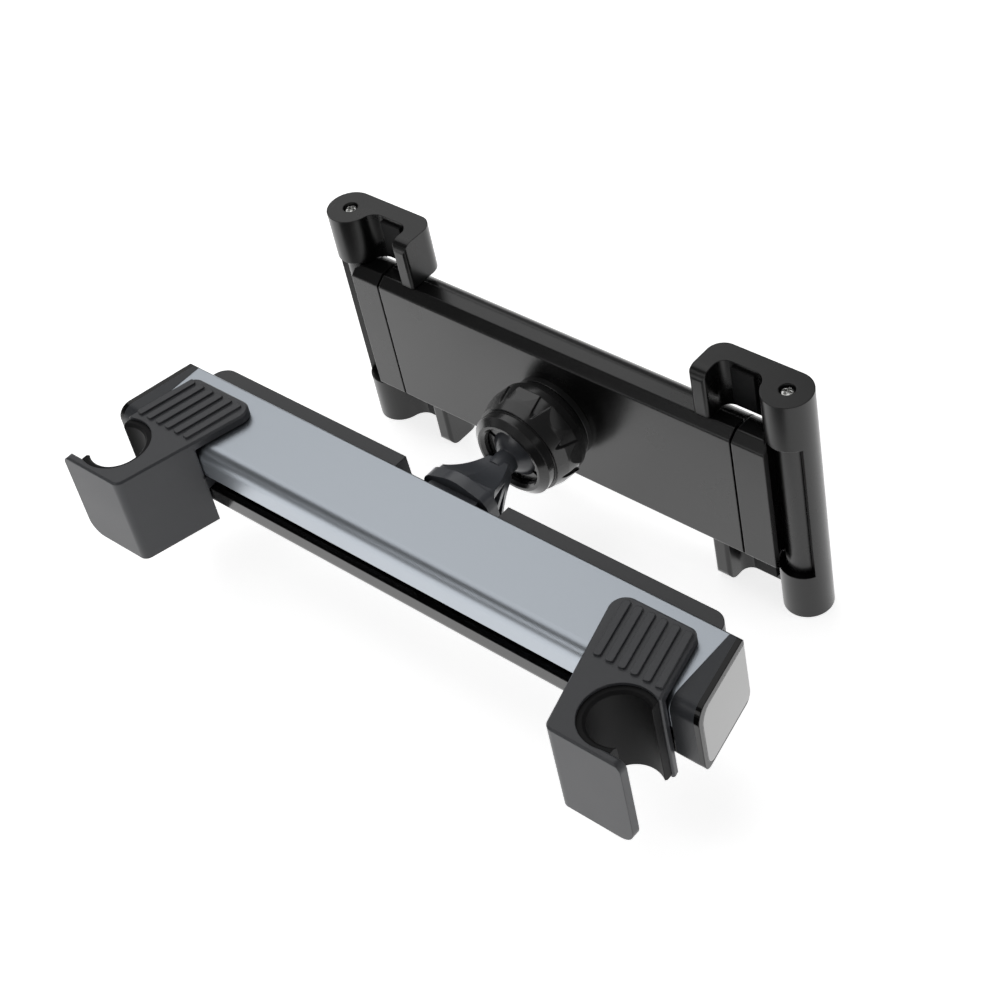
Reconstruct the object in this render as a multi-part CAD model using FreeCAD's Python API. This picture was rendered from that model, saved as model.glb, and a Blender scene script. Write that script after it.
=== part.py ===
import FreeCAD, Part
import os
from math import acos, asin, cos, degrees, hypot, pi, radians, sin, sqrt, tan

os.makedirs("parts", exist_ok=True)
V = FreeCAD.Vector

# Frame: millimetres, +X along the bar, +Y from the bar to the cradle, +Z up.
# The origin lies midway between the axes of the two headrest posts.

# Clearances and working margins
running_gap = 0.05        # radial, shaft in hole
slide_gap = 0.3           # between faces that slide past each other
seat_gap = 0.1            # round an inlay or a plug
carriage_gap = 0.4        # between the hooks' carriages and the walls of the bar
tip_gap = 0.2             # beyond a screw's tip in its hole
bite = 0.5                # how far shapes that are fused reach into each other
beyond = 1.0              # how far a cutting shape reaches past what it cuts

# Screws
housing_screw_radius = 1.2
housing_head_radius = 2.2
housing_head = 1.2
cover_screw_gap = 0.4     # of the cover's wall above the tip
cap_head_radius = 1.5
cap_screw_rise = 10.7     # tip above the bar's lower face
arm_screw_x = 5.0
arm_screw_inset = 1.5     # from the arm root's upper and lower face
arm_screw_depth = 1.0     # into the arm's flange
arm_head_radius = 1.9
arm_head = 0.36
hook_screw_inset = 4.0    # from the ends of the hook's tongue
hook_screw_back = 2.6     # from the tongue's rear edge
hook_screw_rise = 2.0     # tip above the carriage's lower face
socket_screw_radius = 0.9
socket_screw_head = 1.9
socket_screw_cone = 1.0
socket_screw_depth = 3.2  # into the socket
socket_screw_inset = 2.2  # from the socket's outside
claw_screw_radius = 1.5
claw_head_radius = 2.0
claw_head = 1.4
claw_screw_depth = 10.0   # into the knuckle
claw_screw_recess = 1.9   # of the seat below the claw's outer face

# Clamp bar
bar_half = 90.0           # half the length of the aluminium cover
bar_front = 11.1          # y of the bar's front face, from the post axes
bar_depth = 23.8          # front to rear
bar_top = 9.8
bar_height = 20.5
bar_top_radius = 4.0      # rounded front edge of the cover
bar_low_radius = 2.6
bar_rear_radius = 0.6
cover_wall = 1.5
skirt_height = 9.1        # the cover's front skirt, from its top
slot_height = 4.9         # open slot under the skirt
tray_wall = 2.0
tray_rear_wall = 2.5
cover_rib_width = 4.2
cover_rib_height = 4.5    # from the cover's top
lip_depth = 1.5           # rear lip of the cover
lip_height = 2.4

# Rear plate
plate_inset = 3.6         # from the ends of the cover
plate_depth = 5.1
plate_drop = 2.0          # below the cover's top
plate_rise = 0.3          # above the bar's lower face
plate_corner = 4.6
plate_gap_half = 16.4     # opening for the arm
plate_gap_lean = 1.2      # the opening is this much wider at the top, at each side
bridge_height = 2.2
bridge_depth = 3.4
peg_radius = 1.6
peg_inset = 20.0          # outer pegs, from the ends of the cover
peg_inner_x = 30.0

# End caps
cap_front_length = 8.3
cap_rear_length = 3.4
cap_rim = 1.7
panel_depth = 0.8
panel_corner = 4.0
panel_low_corner = 3.0
panel_low_rim = 0.5       # of the cap below the inlay
plug_length = 3.7
cap_screw_inset = 1.8
cap_screw_back = 5.4      # from the front and rear of the bar

# Hooks, with distances along X from the axis of the post
post_inset = 4.8          # post axes inside the cover's ends, hooks at their outer stop
hook_travel = 26.0
plate_thickness = 2.5     # thumb plate
hook_drop = 5.0           # below the bar
hook_front = -11.2
hook_rear_inset = 5.1     # from the rear of the bar
hook_inner_rear = 24.2
hook_inner_front = 12.5
hook_outer_rear = 0.1
hook_stem = 4.9
hook_tip = 9.1
hook_stem_y = 8.8         # front corner of the stem behind the notch
hook_tip_y = -8.9         # rear face of the tip in front of the notch
hook_chamfer = 0.5
hook_tip_low_radius = 4.5
hook_tip_high_radius = 2.5
hook_inner_rear_radius = 4.0
hook_inner_front_radius = 2.5
hook_stem_radius = 0.6
hook_outer_rear_radius = 3.0
notch_radius = 9.7
liner_wall = 2.1
liner_drop = 0.8          # below the thumb plate and above the hook's bottom
liner_open = 4.3          # the liner ends this far outside the post axis
liner_edge = 0.7          # bevel round the liner's upper and lower opening
rib_count = 6
rib_width = 2.0
rib_height = 0.6
rib_corner = 0.6
rib_rear_inset = 1.8
rib_front_y = 11.1
rib_first = 19.4
rib_pitch = 3.6
rib_lean = 4.1            # how far a rib leans outward towards the front

# Hook mechanism inside the bar
tooth_module = 1.0
tooth_count = 12
tooth_addendum = 0.7
tooth_dedendum = 1.0
tooth_backlash = 0.2
pressure_angle = 20.0
rack_rise = 5.0           # the racks above the tray's floor
rack_thickness = 3.9
rack_spare = 5.0          # teeth beyond the travel, at each end
rack_end = 1.5            # beyond the last tooth
carriage_reach = 22.7     # from the post axis inward
tongue_reach = 19.2
tongue_end = 1.2
tongue_length = 7.7       # into the bar behind its front face
rod_radius = 1.5
rod_seat = 2.0            # length of a rod's end in its stop and in the cap's plug
spring_radius = 2.6       # to the middle of the wire
spring_wire = 0.8
hook_spring_turns = 7
stop_inner = 8.0          # the blocks beside the pinion
stop_outer = 14.0
stop_half = 3.9
pinion_boss_radius = 3.4
pinion_pin_radius = 1.5
pin_collar = 1.1          # the pin's collar is this much wider than the pin
pin_collar_height = 1.2

# Arm and ball
flange_gap = 3.7          # between the bar and the flange
flange_thickness = 3.5
flange_half = 11.0
flange_side_height = 6.0  # half the height at the sides
flange_half_height = 9.6  # at the middle, where the upper and lower edge are arched
flange_corner = 4.0
flange_arch = 12.0        # radius of that arch
root_half = 8.0
root_top = 5.5
root_clearance = 0.7      # above the rear plate's bridge
flare_margin = 0.6        # of the flange round the flare
flare_side_bow = 0.03     # how hollow the flare is, seen from above
flare_top_bow = 0.3       # and seen from the side
flare_crease = 5.0        # degrees, slope of the two halves of its upper face
flare_cone = 18.0         # radius of the cone that bounds the flare near the flange
flare_cone_gap = 2.1      # from the flange's rear face back to that radius
arm_web = 2.6             # thickness of the upright web
arm_rib = 1.6             # thickness of the middle rib
pocket_margin = 0.6
pocket_skin = 3.2
pocket_end = 4.8          # before the neck
neck_length = 10.8        # to the ball's centre
neck_radius = 3.35
ball_y = 66.1
ball_radius = 8.5

# Ball socket and collar
ball_gap = 0.08
ring_wall = 0.7
ring_half = 1.5
ring_gap = 0.1            # outside the friction ring
ring_swing = 31.0
socket_radius = 11.0
finger_reach = 5.26       # fingers in front of the ball's centre
finger_slots = 6
finger_slot_width = 1.2
finger_slot_depth = 5.4   # behind the ball's centre
socket_base_radius = 12.6
socket_base_thickness = 1.8
spigot_radius = 5.0
pad_radius = 3.5
pad_thickness = 1.9
pad_seat = 1.3            # of the pad's rear face, inside the socket's base
collar_reach = 7.6        # in front of the ball's centre
collar_mouth = 8.8
collar_mouth_bevel = 0.8
collar_face = 1.6         # width of the flat front face
collar_front_radius = 12.4
collar_bevel = 1.5        # depth of the front bevel
petal_count = 8
petal_start = 4.2         # behind the collar's front
petal_height = 0.7
petal_front_radius = 13.0
petal_shoulder_radius = 14.1
petal_shoulder = 3.3
petal_widest_radius = 14.8
petal_widest = 7.9
petal_flat = 14.2         # distance of a petal's flat from the axis
flute_start = 0.6         # the flutes between the petals start this far in front of them
flute_radius = 2.4        # at the petals' rear
flute_out = 0.5           # of a flute's middle line outside the petals' front
tail_radius = 13.9        # smooth ring behind the petals
tail_length = 2.3
tail_rear_radius = 12.6

# Cradle
cradle_reach = 11.3       # from the ball's centre to the back cover
cradle_depth = 11.7
cradle_half = 58.9
cradle_half_height = 21.8
back_inset = 2.2          # the back cover's flat is this much lower at each edge
ridge_depth = 2.8
seam_depth = 6.6
cradle_wall = 2.0
cradle_edge = 0.8
front_corner = 5.0
grip_recess = 0.6
grip_proud = 0.2          # the pads stand this far beyond the claws' hubs
grip_inner = 8.0
grip_end_inset = 3.9
grip_edge_inset = 7.8
grip_corner = 3.0
cover_screw_inset = 8.9   # outer screws, from the ends of the covers
cover_screw_inner = 25.0
post_boss_radius = 3.0

# Sliders
slider_travel = 45.0
seam_width = 0.7
block_length = 9.5
strip_radius = 6.9        # hollow strip round the claw's shell
slide_arm_thickness = 3.0
slide_arm_inset = 5.8     # the arm's outer edge, from the cradle's upper face
slide_arm_tail = 7.9      # its far end, from the cradle's far end
knuckle_radius = 4.7
knuckle_proud = 0.2
neck_half = 2.6
neck_inset = 3.0
peg_x = 10.0
peg_half = 1.2
spring_post_inset = 5.9
cradle_spring_z = 11.5
cradle_spring_radius = 1.4
cradle_spring_wire = 0.6
cradle_spring_turns = 8
coil_facets = 10          # flats in one turn of a spring's wire
eye_radius = 2.5
eye_wire = 1.0
eye_half = 0.3

# Claws
claw_axis_out = 13.2      # beyond the cradle's end
claw_axis_inset = 3.7     # behind the cradle's front
claw_hub_radius = 6.6
claw_gap = 0.1            # between knuckle and claw
claw_height = 14.4        # of each J hook
shell_inner = 5.0
shell_start = -31.0       # degrees from +X, right claw
shell_end = 110.0
web_thickness = 5.2
claw_length = 25.1        # from the axis to the outside of the lip
lip_wall = 4.8
lip_length = 12.6
web_outer_corner = 4.5
web_inner_corner = 3.0
lip_edge = 1.0            # rounding of the lip's free end, seen from above
web_fillet = 4.0          # between hub and web, on the side of the tablet
lip_end_radius = 3.0      # the lip's free end, seen from the side
claw_pad_thickness = 0.9
claw_pad_margin = 1.5

# Worked out from the sizes above: clamp bar
bar_rear = bar_front + bar_depth
bar_bottom = bar_top - bar_height
skirt_bottom = bar_top - skirt_height
slot_bottom = skirt_bottom - slot_height
cover_rib_bottom = bar_top - cover_rib_height
lip_bottom = bar_top - lip_height
cavity_front = bar_front + tray_wall
cavity_rear = bar_rear - tray_rear_wall
cavity_floor = bar_bottom + tray_wall
cavity_roof = bar_top - cover_wall
cover_screw_tip = cavity_roof - cover_screw_gap
plate_half = bar_half - plate_inset
plate_top = bar_top - plate_drop
plate_bottom = bar_bottom + plate_rise
bridge_top = plate_bottom + bridge_height
peg_places = (peg_inset - bar_half, -peg_inner_x, peg_inner_x, bar_half - peg_inset)
cap_front_x = bar_half + cap_front_length
cap_rear_x = bar_half + cap_rear_length
cap_screw_y = bar_front + cap_screw_back
cap_screw_tip = bar_bottom + cap_screw_rise

# Hooks and their mechanism
post_x = bar_half - post_inset
post_spacing = 2 * post_x
hook_top = bar_top + slide_gap + plate_thickness
hook_bottom = bar_bottom - hook_drop
hook_rear = bar_rear - hook_rear_inset
hook_inner_rear_x = post_x - hook_inner_rear
hook_inner_front_x = post_x - hook_inner_front
hook_outer_rear_x = post_x + hook_outer_rear
hook_stem_x = post_x + hook_stem
hook_tip_x = post_x + hook_tip
rib_rear_y = hook_rear - rib_rear_inset
rib_first_x = post_x - rib_first
pinion_y = (cavity_front + cavity_rear) / 2
pitch_radius = tooth_module * tooth_count / 2
rack_low = cavity_floor + rack_rise
rack_high = rack_low + rack_thickness
carriage_inner = post_x - carriage_reach
carriage_outer = bar_half - plug_length - slide_gap
carriage_low = cavity_floor + slide_gap
carriage_high = cover_rib_bottom - slide_gap
tongue_inner = post_x - tongue_reach
tongue_outer = post_x - tongue_end
hook_screw_y = bar_front + tongue_length - hook_screw_back
rod_z = (rack_low + rack_high) / 2
rod_inner_end = stop_outer - rod_seat
rod_outer_end = bar_half - plug_length + rod_seat

# Arm, socket and collar
flange_y = bar_rear + flange_gap
flange_end = flange_y + flange_thickness
root_bottom = bridge_top + root_clearance
neck_y = ball_y - neck_length
cradle_back = ball_y + cradle_reach
socket_base_y = cradle_back - socket_base_thickness
finger_end_y = ball_y - finger_reach
finger_slot_end_y = ball_y + finger_slot_depth
socket_screw_tip = cradle_back - socket_screw_depth
pad_rear = cradle_back - pad_seat
collar_front_y = ball_y - collar_reach
collar_rear_y = socket_base_y - slide_gap
petal_front_y = collar_front_y + petal_start
petal_rear_y = petal_front_y + petal_widest

# Cradle, sliders and claws
cradle_front = cradle_back + cradle_depth
back_half_height = cradle_half_height - back_inset
ridge_y = cradle_back + ridge_depth
cradle_seam_y = cradle_back + seam_depth
front_inside = cradle_front - cradle_wall
grip_outer = cradle_half - grip_end_inset
grip_half_height = cradle_half_height - grip_edge_inset
cover_screw_outer = cradle_half - cover_screw_inset
cover_screw_places = (-cover_screw_outer, -cover_screw_inner, cover_screw_inner, cover_screw_outer)
block_inner = cradle_half + seam_width
block_outer = block_inner + block_length
slide_arm_back = cradle_back + cradle_wall + slide_gap
slide_arm_front = slide_arm_back + slide_arm_thickness
slide_arm_high = cradle_half_height - slide_arm_inset
slide_arm_end = slide_arm_tail - cradle_half
knuckle_half = cradle_half_height + knuckle_proud
spring_post_x = cradle_half - spring_post_inset
cradle_spring_y = (slide_arm_front + front_inside) / 2
claw_axis_x = cradle_half + claw_axis_out
claw_axis_y = cradle_front - claw_axis_inset
claw_low = knuckle_half + claw_gap
claw_high = claw_low + claw_height
claw_web_y = claw_axis_y + claw_hub_radius
web_inner_y = claw_web_y - web_thickness
lip_outer_x = claw_axis_x - claw_length
lip_end_y = claw_web_y - lip_length
claw_screw_tip = knuckle_half - claw_screw_depth
claw_screw_seat = claw_high - claw_screw_recess

AXES = {"x": V(1, 0, 0), "y": V(0, 1, 0), "z": V(0, 0, 1)}


def spot(axis, u, v, at):
    """A point of the plane square to axis: (y, z), (x, z) or (x, y), and its place along axis."""
    if axis == "x":
        return V(at, u, v)
    if axis == "y":
        return V(u, at, v)
    return V(u, v, at)


def outline(axis, at, corners):
    """A closed wire through corners (u, v) or (u, v, radius of the rounding)."""
    rounded = []
    count = len(corners)
    for i in range(count):
        here = spot(axis, corners[i][0], corners[i][1], at)
        radius = corners[i][2] if len(corners[i]) > 2 else 0
        if not radius:
            rounded.append((here, here, here))
            continue
        before = spot(axis, corners[i - 1][0], corners[i - 1][1], at) - here
        after = spot(axis, corners[(i + 1) % count][0], corners[(i + 1) % count][1], at) - here
        half_angle = before.getAngle(after) / 2
        before.normalize()
        after.normalize()
        reach = radius / tan(half_angle)
        middle = before + after
        middle.normalize()
        bow = here + middle * (radius / sin(half_angle) - radius)
        rounded.append((here + before * reach, bow, here + after * reach))
    edges = []
    for i in range(count):
        start, bow, end = rounded[i]
        if (end - start).Length > 1e-6:
            edges.append(Part.Arc(start, bow, end).toShape())
        following = rounded[(i + 1) % count][0]
        if (following - end).Length > 1e-6:
            edges.append(Part.makeLine(end, following))
    return Part.Wire(edges)


def prism(axis, low, high, corners):
    return Part.Face(outline(axis, low, corners)).extrude(AXES[axis] * (high - low))


def block(x0, x1, y0, y1, z0, z1):
    return Part.makeBox(x1 - x0, y1 - y0, z1 - z0, V(x0, y0, z0))


def rod(axis, u, v, radius, low, high):
    return Part.makeCylinder(radius, high - low, spot(axis, u, v, low), AXES[axis])


def turned(points, y_centre=0.0):
    """Turns a closed outline of (radius, y) points about the Y axis."""
    corners = [V(r, y + y_centre, 0) for r, y in points]
    face = Part.Face(Part.makePolygon(corners + corners[:1]))
    return face.revolve(V(0, 0, 0), V(0, 1, 0), 360)


def mirrored(shape):
    return shape.mirror(V(0, 0, 0), V(1, 0, 0))


def sided(shape, side):
    return shape if side > 0 else mirrored(shape)


def fused(first, *others):
    return first.fuse(list(others)).removeSplitter()


def save(name, shape):
    """Writes a piece, or a group of like pieces, as plain solids."""
    solids = [solid if solid.Volume > 0 else solid.reversed() for solid in shape.Solids]
    whole = solids[0] if len(solids) == 1 else Part.makeCompound(solids)
    whole.exportStep("parts/" + name + ".step")


def screw(axis, u, v, tip, seat, radius, head_radius, head):
    """A round-headed screw from its tip to the seat of its head; head may point either way."""
    shank = rod(axis, u, v, radius, min(tip, seat), max(tip, seat))
    top = rod(axis, u, v, head_radius, min(seat, seat + head), max(seat, seat + head))
    return shank.fuse(top).removeSplitter()


def coil(start, end, radius, wire, turns):
    """A spring of square wire along X, closed by a flat ring at each end."""
    length = end.x - start.x - 2 * wire
    sections = []
    for i in range(coil_facets * turns + 1):
        angle = 2 * pi * i / coil_facets
        out = V(0, cos(angle), sin(angle))
        centre = start + V(wire + length * i / (coil_facets * turns), 0, 0) + out * radius
        half = wire / 2
        sections.append([centre + V(x * half, 0, 0) + out * (r * half)
                         for x, r in ((1, 1), (1, -1), (-1, -1), (-1, 1))])
    facets = [sections[0][:3], sections[0][2:] + sections[0][:1]]
    facets += [sections[-1][:3], sections[-1][2:] + sections[-1][:1]]
    for near, far in zip(sections, sections[1:]):
        for k in range(4):
            other = (k + 1) % 4
            facets.append([near[k], near[other], far[other]])
            facets.append([near[k], far[other], far[k]])
    faces = [Part.Face(Part.makePolygon(facet + facet[:1])) for facet in facets]
    body = Part.Solid(Part.makeShell(faces))
    rings = []
    for low in (start.x, end.x - 1.5 * wire):
        high = low + 1.5 * wire
        ring = prism("x", low, high, ring_corners(start, radius + wire / 2))
        rings.append(ring.cut(prism("x", low - beyond, high + beyond, ring_corners(start, radius - wire / 2))))
    return (body if body.Volume > 0 else body.reversed()).fuse(rings)


def ring_corners(centre, radius):
    return [(centre.y + radius * cos(2 * pi * i / coil_facets), centre.z + radius * sin(2 * pi * i / coil_facets))
            for i in range(coil_facets)]


def gear_corners():
    """The pinion's outline about its own axis, one tooth centred on the first direction."""
    base_radius = pitch_radius * cos(radians(pressure_angle))
    thickness = pi * tooth_module / 2 - tooth_backlash / 2

    def half_angle(radius):
        pitch_roll = tan(radians(pressure_angle)) - radians(pressure_angle)
        lean = acos(min(1.0, base_radius / radius))
        return thickness / (2 * pitch_radius) + pitch_roll - (tan(lean) - lean)

    radii = [pitch_radius - tooth_dedendum, base_radius, pitch_radius, pitch_radius + tooth_addendum]
    corners = []
    for tooth in range(tooth_count):
        centre = 2 * pi * tooth / tooth_count
        for radius in radii:
            angle = centre - half_angle(max(radius, base_radius))
            corners.append((radius * cos(angle), radius * sin(angle)))
        for radius in reversed(radii):
            angle = centre + half_angle(max(radius, base_radius))
            corners.append((radius * cos(angle), radius * sin(angle)))
    return corners


def rack_corners(first, last, start, end, back):
    """A rack's outline: teeth between first and last point towards -v from the pitch line v = 0."""
    pitch = pi * tooth_module
    half = (pitch / 2 - tooth_backlash / 2) / 2
    lean = tan(radians(pressure_angle))
    corners = [(start, back), (start, tooth_dedendum)]
    place = (round(first / pitch - 0.5) + 0.5) * pitch
    while place <= last:
        wide = half + tooth_dedendum * lean
        narrow = half - tooth_addendum * lean
        corners.append((place - wide, tooth_dedendum))
        corners.append((place - narrow, -tooth_addendum))
        corners.append((place + narrow, -tooth_addendum))
        corners.append((place + wide, tooth_dedendum))
        place += pitch
    return corners + [(end, tooth_dedendum), (end, back)]


# Clamp bar

def bar_corners():
    return [(bar_front, bar_bottom, bar_low_radius), (bar_rear, bar_bottom, bar_low_radius),
            (bar_rear, bar_top, bar_rear_radius), (bar_front, bar_top, bar_top_radius)]


def aluminium_cover():
    rib_front = pinion_y - cover_rib_width / 2
    rib_rear = pinion_y + cover_rib_width / 2
    inner_radius = bar_top_radius - cover_wall
    section = [(bar_front, skirt_bottom), (bar_front, bar_top, bar_top_radius),
               (bar_rear, bar_top, bar_rear_radius), (bar_rear, lip_bottom),
               (bar_rear - lip_depth, lip_bottom), (bar_rear - lip_depth, cavity_roof),
               (rib_rear, cavity_roof), (rib_rear, cover_rib_bottom),
               (rib_front, cover_rib_bottom), (rib_front, cavity_roof),
               (bar_front + cover_wall, cavity_roof, inner_radius),
               (bar_front + cover_wall, skirt_bottom)]
    cover = prism("x", -bar_half, bar_half, section)
    for place in housing_screw_places():
        cover = cover.cut(rod("z", place, pinion_y, housing_screw_radius, cover_rib_bottom - beyond,
                              cover_screw_tip + tip_gap))
    return cover


def housing_screw_places():
    middle = (stop_inner + rod_inner_end) / 2
    return (-middle, middle)


def cap_screw_places():
    across = cavity_rear - (cap_screw_y - cavity_front)
    return [(side * (bar_half - cap_screw_inset), y) for side in (-1, 1)
            for y in (cap_screw_y, across)]


def arm_screw_places():
    heights = (root_bottom + arm_screw_inset, root_top - arm_screw_inset)
    return [(side * arm_screw_x, z) for side in (-1, 1) for z in heights]


def lower_housing():
    section = [(bar_front, slot_bottom), (bar_front, bar_bottom, bar_low_radius),
               (bar_rear, bar_bottom, bar_low_radius), (bar_rear, lip_bottom - seat_gap),
               (bar_rear - lip_depth - seat_gap, lip_bottom - seat_gap),
               (bar_rear - lip_depth - seat_gap, cavity_roof - seat_gap),
               (cavity_rear, cavity_roof - seat_gap), (cavity_rear, cavity_floor),
               (cavity_front, cavity_floor), (cavity_front, slot_bottom)]
    tray = prism("x", -bar_half, bar_half, section)
    added = [rod("z", 0, pinion_y, pinion_boss_radius, cavity_floor - bite, rack_low - slide_gap)]
    for side in (-1, 1):
        low, high = sorted((side * stop_inner, side * stop_outer))
        added.append(block(low, high, pinion_y - stop_half, pinion_y + stop_half,
                           cavity_floor - bite, cover_rib_bottom))
    tray = fused(tray, *added)
    for side in (-1, 1):
        low, high = sorted((side * rod_inner_end, side * (stop_outer + beyond)))
        tray = tray.cut(rod("x", pinion_y, rod_z, rod_radius + running_gap, low, high))
    tray = tray.cut(rod("z", 0, pinion_y, pinion_pin_radius, cavity_floor, cavity_roof))
    for x in housing_screw_places():
        tray = tray.cut(rod("z", x, pinion_y, housing_screw_radius, bar_bottom - beyond, cavity_roof))
        tray = tray.cut(rod("z", x, pinion_y, housing_head_radius + seat_gap, bar_bottom - beyond,
                            bar_bottom + housing_head))
    for x, y in cap_screw_places():
        tray = tray.cut(rod("z", x, y, housing_screw_radius, bar_bottom - beyond, cavity_floor + beyond))
        tray = tray.cut(rod("z", x, y, cap_head_radius + seat_gap, bar_bottom - beyond,
                            bar_bottom + housing_head))
    for x, z in arm_screw_places():
        tray = tray.cut(rod("y", x, z, housing_screw_radius, cavity_rear - beyond, bar_rear + beyond))
    for x in peg_places:
        tray = tray.cut(rod("y", x, 0, peg_radius + running_gap, cavity_rear - beyond, bar_rear + beyond))
    return tray


def rear_plate():
    rear = bar_rear + plate_depth
    plan = [(-plate_half, bar_rear), (plate_half, bar_rear), (plate_half, rear, plate_corner),
            (-plate_half, rear, plate_corner)]
    plate = prism("z", plate_bottom, plate_top, plan)
    window = [(-plate_gap_half, bridge_top), (plate_gap_half, bridge_top),
              (plate_gap_half + plate_gap_lean, plate_top + beyond),
              (-plate_gap_half - plate_gap_lean, plate_top + beyond)]
    plate = plate.cut(prism("y", bar_rear - beyond, rear + beyond, window))
    plate = plate.cut(block(-plate_gap_half, plate_gap_half, bar_rear + bridge_depth, rear + beyond,
                            plate_bottom - beyond, bridge_top + beyond))
    pegs = [rod("y", x, 0, peg_radius, cavity_rear + slide_gap, bar_rear + bite) for x in peg_places]
    return fused(plate, *pegs)


def cap_outer_x(y):
    lean = (cap_front_x - cap_rear_x) / bar_depth
    return cap_front_x - lean * (y - bar_front)


def slanted_slab(depth, low, high):
    """The space within depth of the cap's slanted outer face."""
    front = bar_front - beyond
    rear = bar_rear + beyond
    plan = [(cap_outer_x(front) - depth, front), (cap_outer_x(front), front),
            (cap_outer_x(rear), rear), (cap_outer_x(rear) - depth, rear)]
    return prism("z", low, high, plan)


def panel_space(gap):
    front = bar_front + cap_rim + gap
    top = bar_top - cap_rim - gap
    low = bar_bottom + panel_low_rim + gap
    frame = [(front, low, panel_low_corner - gap), (bar_rear + beyond, low),
             (bar_rear + beyond, top), (front, top, panel_corner - gap)]
    slab = slanted_slab(panel_depth, bar_bottom - beyond, bar_top + beyond)
    return slab.common(prism("x", bar_half, cap_front_x + 2 * beyond, frame))


def end_cap():
    outer = prism("x", bar_half, cap_front_x + 2 * beyond, bar_corners())
    outer = outer.common(slanted_slab(cap_front_x, bar_bottom - beyond, bar_top + beyond))
    plug = block(bar_half - plug_length, bar_half + bite, cavity_front + seat_gap,
                 cavity_rear - seat_gap, cavity_floor, cover_rib_bottom - seat_gap)
    cap = fused(outer, plug)
    cap = cap.cut(rod("x", pinion_y, rod_z, rod_radius + running_gap, bar_half - plug_length - beyond,
                      rod_outer_end))
    for x, y in cap_screw_places():
        if x > 0:
            cap = cap.cut(rod("z", x, y, housing_screw_radius, bar_bottom, cap_screw_tip + tip_gap))
    return cap.cut(panel_space(0))


def end_panel():
    bar_end = prism("x", bar_half, cap_front_x + 2 * beyond, bar_corners())
    return panel_space(seat_gap).common(bar_end)


def guide_rod():
    return rod("x", pinion_y, rod_z, rod_radius, rod_inner_end, rod_outer_end)


def hook_spring():
    start = V(stop_outer, pinion_y, rod_z)
    end = V(carriage_inner, pinion_y, rod_z)
    return coil(start, end, spring_radius, spring_wire, hook_spring_turns)


def hook_pinion():
    gear = prism("z", rack_low, rack_high, gear_corners())
    gear.translate(V(0, pinion_y, 0))
    return gear.cut(rod("z", 0, pinion_y, pinion_pin_radius + running_gap, rack_low - beyond,
                        rack_high + beyond))


def hook_pinion_pin():
    shaft = rod("z", 0, pinion_y, pinion_pin_radius, cavity_floor, cover_rib_bottom - seat_gap)
    low = rack_high + tip_gap
    collar = rod("z", 0, pinion_y, pinion_pin_radius + pin_collar, low, low + pin_collar_height)
    return fused(shaft, collar)


def housing_screws():
    screws = []
    for x in housing_screw_places():
        screws.append(screw("z", x, pinion_y, cover_screw_tip, bar_bottom + housing_head,
                            housing_screw_radius, housing_head_radius, -housing_head))
    for x, y in cap_screw_places():
        screws.append(screw("z", x, y, cap_screw_tip, bar_bottom + housing_head,
                            housing_screw_radius, cap_head_radius, -housing_head))
    return Part.makeCompound(screws)


def arm_screws():
    return Part.makeCompound([screw("y", x, z, flange_y + arm_screw_depth, cavity_rear,
                                    housing_screw_radius, arm_head_radius, -arm_head)
                              for x, z in arm_screw_places()])


# Hooks

def hook_plan():
    return [(hook_inner_rear_x, hook_rear, hook_inner_rear_radius),
            (hook_inner_front_x, hook_front, hook_inner_front_radius),
            (hook_tip_x, hook_front), (hook_tip_x, hook_tip_y), (post_x, hook_tip_y),
            (post_x, hook_stem_y), (hook_stem_x, hook_stem_y, hook_stem_radius),
            (hook_outer_rear_x, hook_rear, hook_outer_rear_radius)]


def hook():
    """The right hook: thumb plate over the cover, block in front of the bar, notch for the post."""
    body = prism("z", hook_bottom, hook_top, hook_plan())
    body = body.makeChamfer(hook_chamfer, [e for e in body.Edges if e.BoundBox.ZMin > hook_top - 0.01])
    inner = hook_inner_rear_x - beyond
    tip = [(inner, hook_bottom), (hook_tip_x, hook_bottom, hook_tip_low_radius),
           (hook_tip_x, hook_top, hook_tip_high_radius), (inner, hook_top)]
    body = body.common(prism("y", hook_front - beyond, hook_rear + beyond, tip))
    body = body.cut(block(inner, hook_tip_x + beyond, bar_front - slide_gap, hook_rear + beyond,
                          hook_bottom - beyond, hook_top - plate_thickness))
    body = body.cut(rod("z", post_x, 0, notch_radius, hook_bottom - beyond, hook_top + beyond))
    ribs = []
    for i in range(rib_count):
        ribs.append(thumb_rib(rib_first_x + i * rib_pitch))
    tongue = block(tongue_inner, tongue_outer, bar_front - slide_gap - bite, bar_front + tongue_length,
                   rack_low, rack_high)
    body = fused(body, tongue, *ribs)
    for x in hook_screw_places():
        body = body.cut(rod("z", x, hook_screw_y, housing_screw_radius, rack_low - beyond,
                            rack_high + beyond))
    return body


def hook_screw_places():
    return (tongue_inner + hook_screw_inset, tongue_outer - hook_screw_inset)


def thumb_rib(x):
    """One raised flat rib, leaning outward towards the front."""
    length = hypot(rib_lean, rib_rear_y - rib_front_y)
    corners = [(-rib_width / 2, -length, rib_corner), (rib_width / 2, -length, rib_corner),
               (rib_width / 2, 0, rib_corner), (-rib_width / 2, 0, rib_corner)]
    rib = prism("z", hook_top - bite, hook_top + rib_height, corners)
    rib.rotate(V(0, 0, 0), AXES["z"], degrees(asin(rib_lean / length)))
    rib.translate(V(x, rib_rear_y, 0))
    return rib


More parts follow.
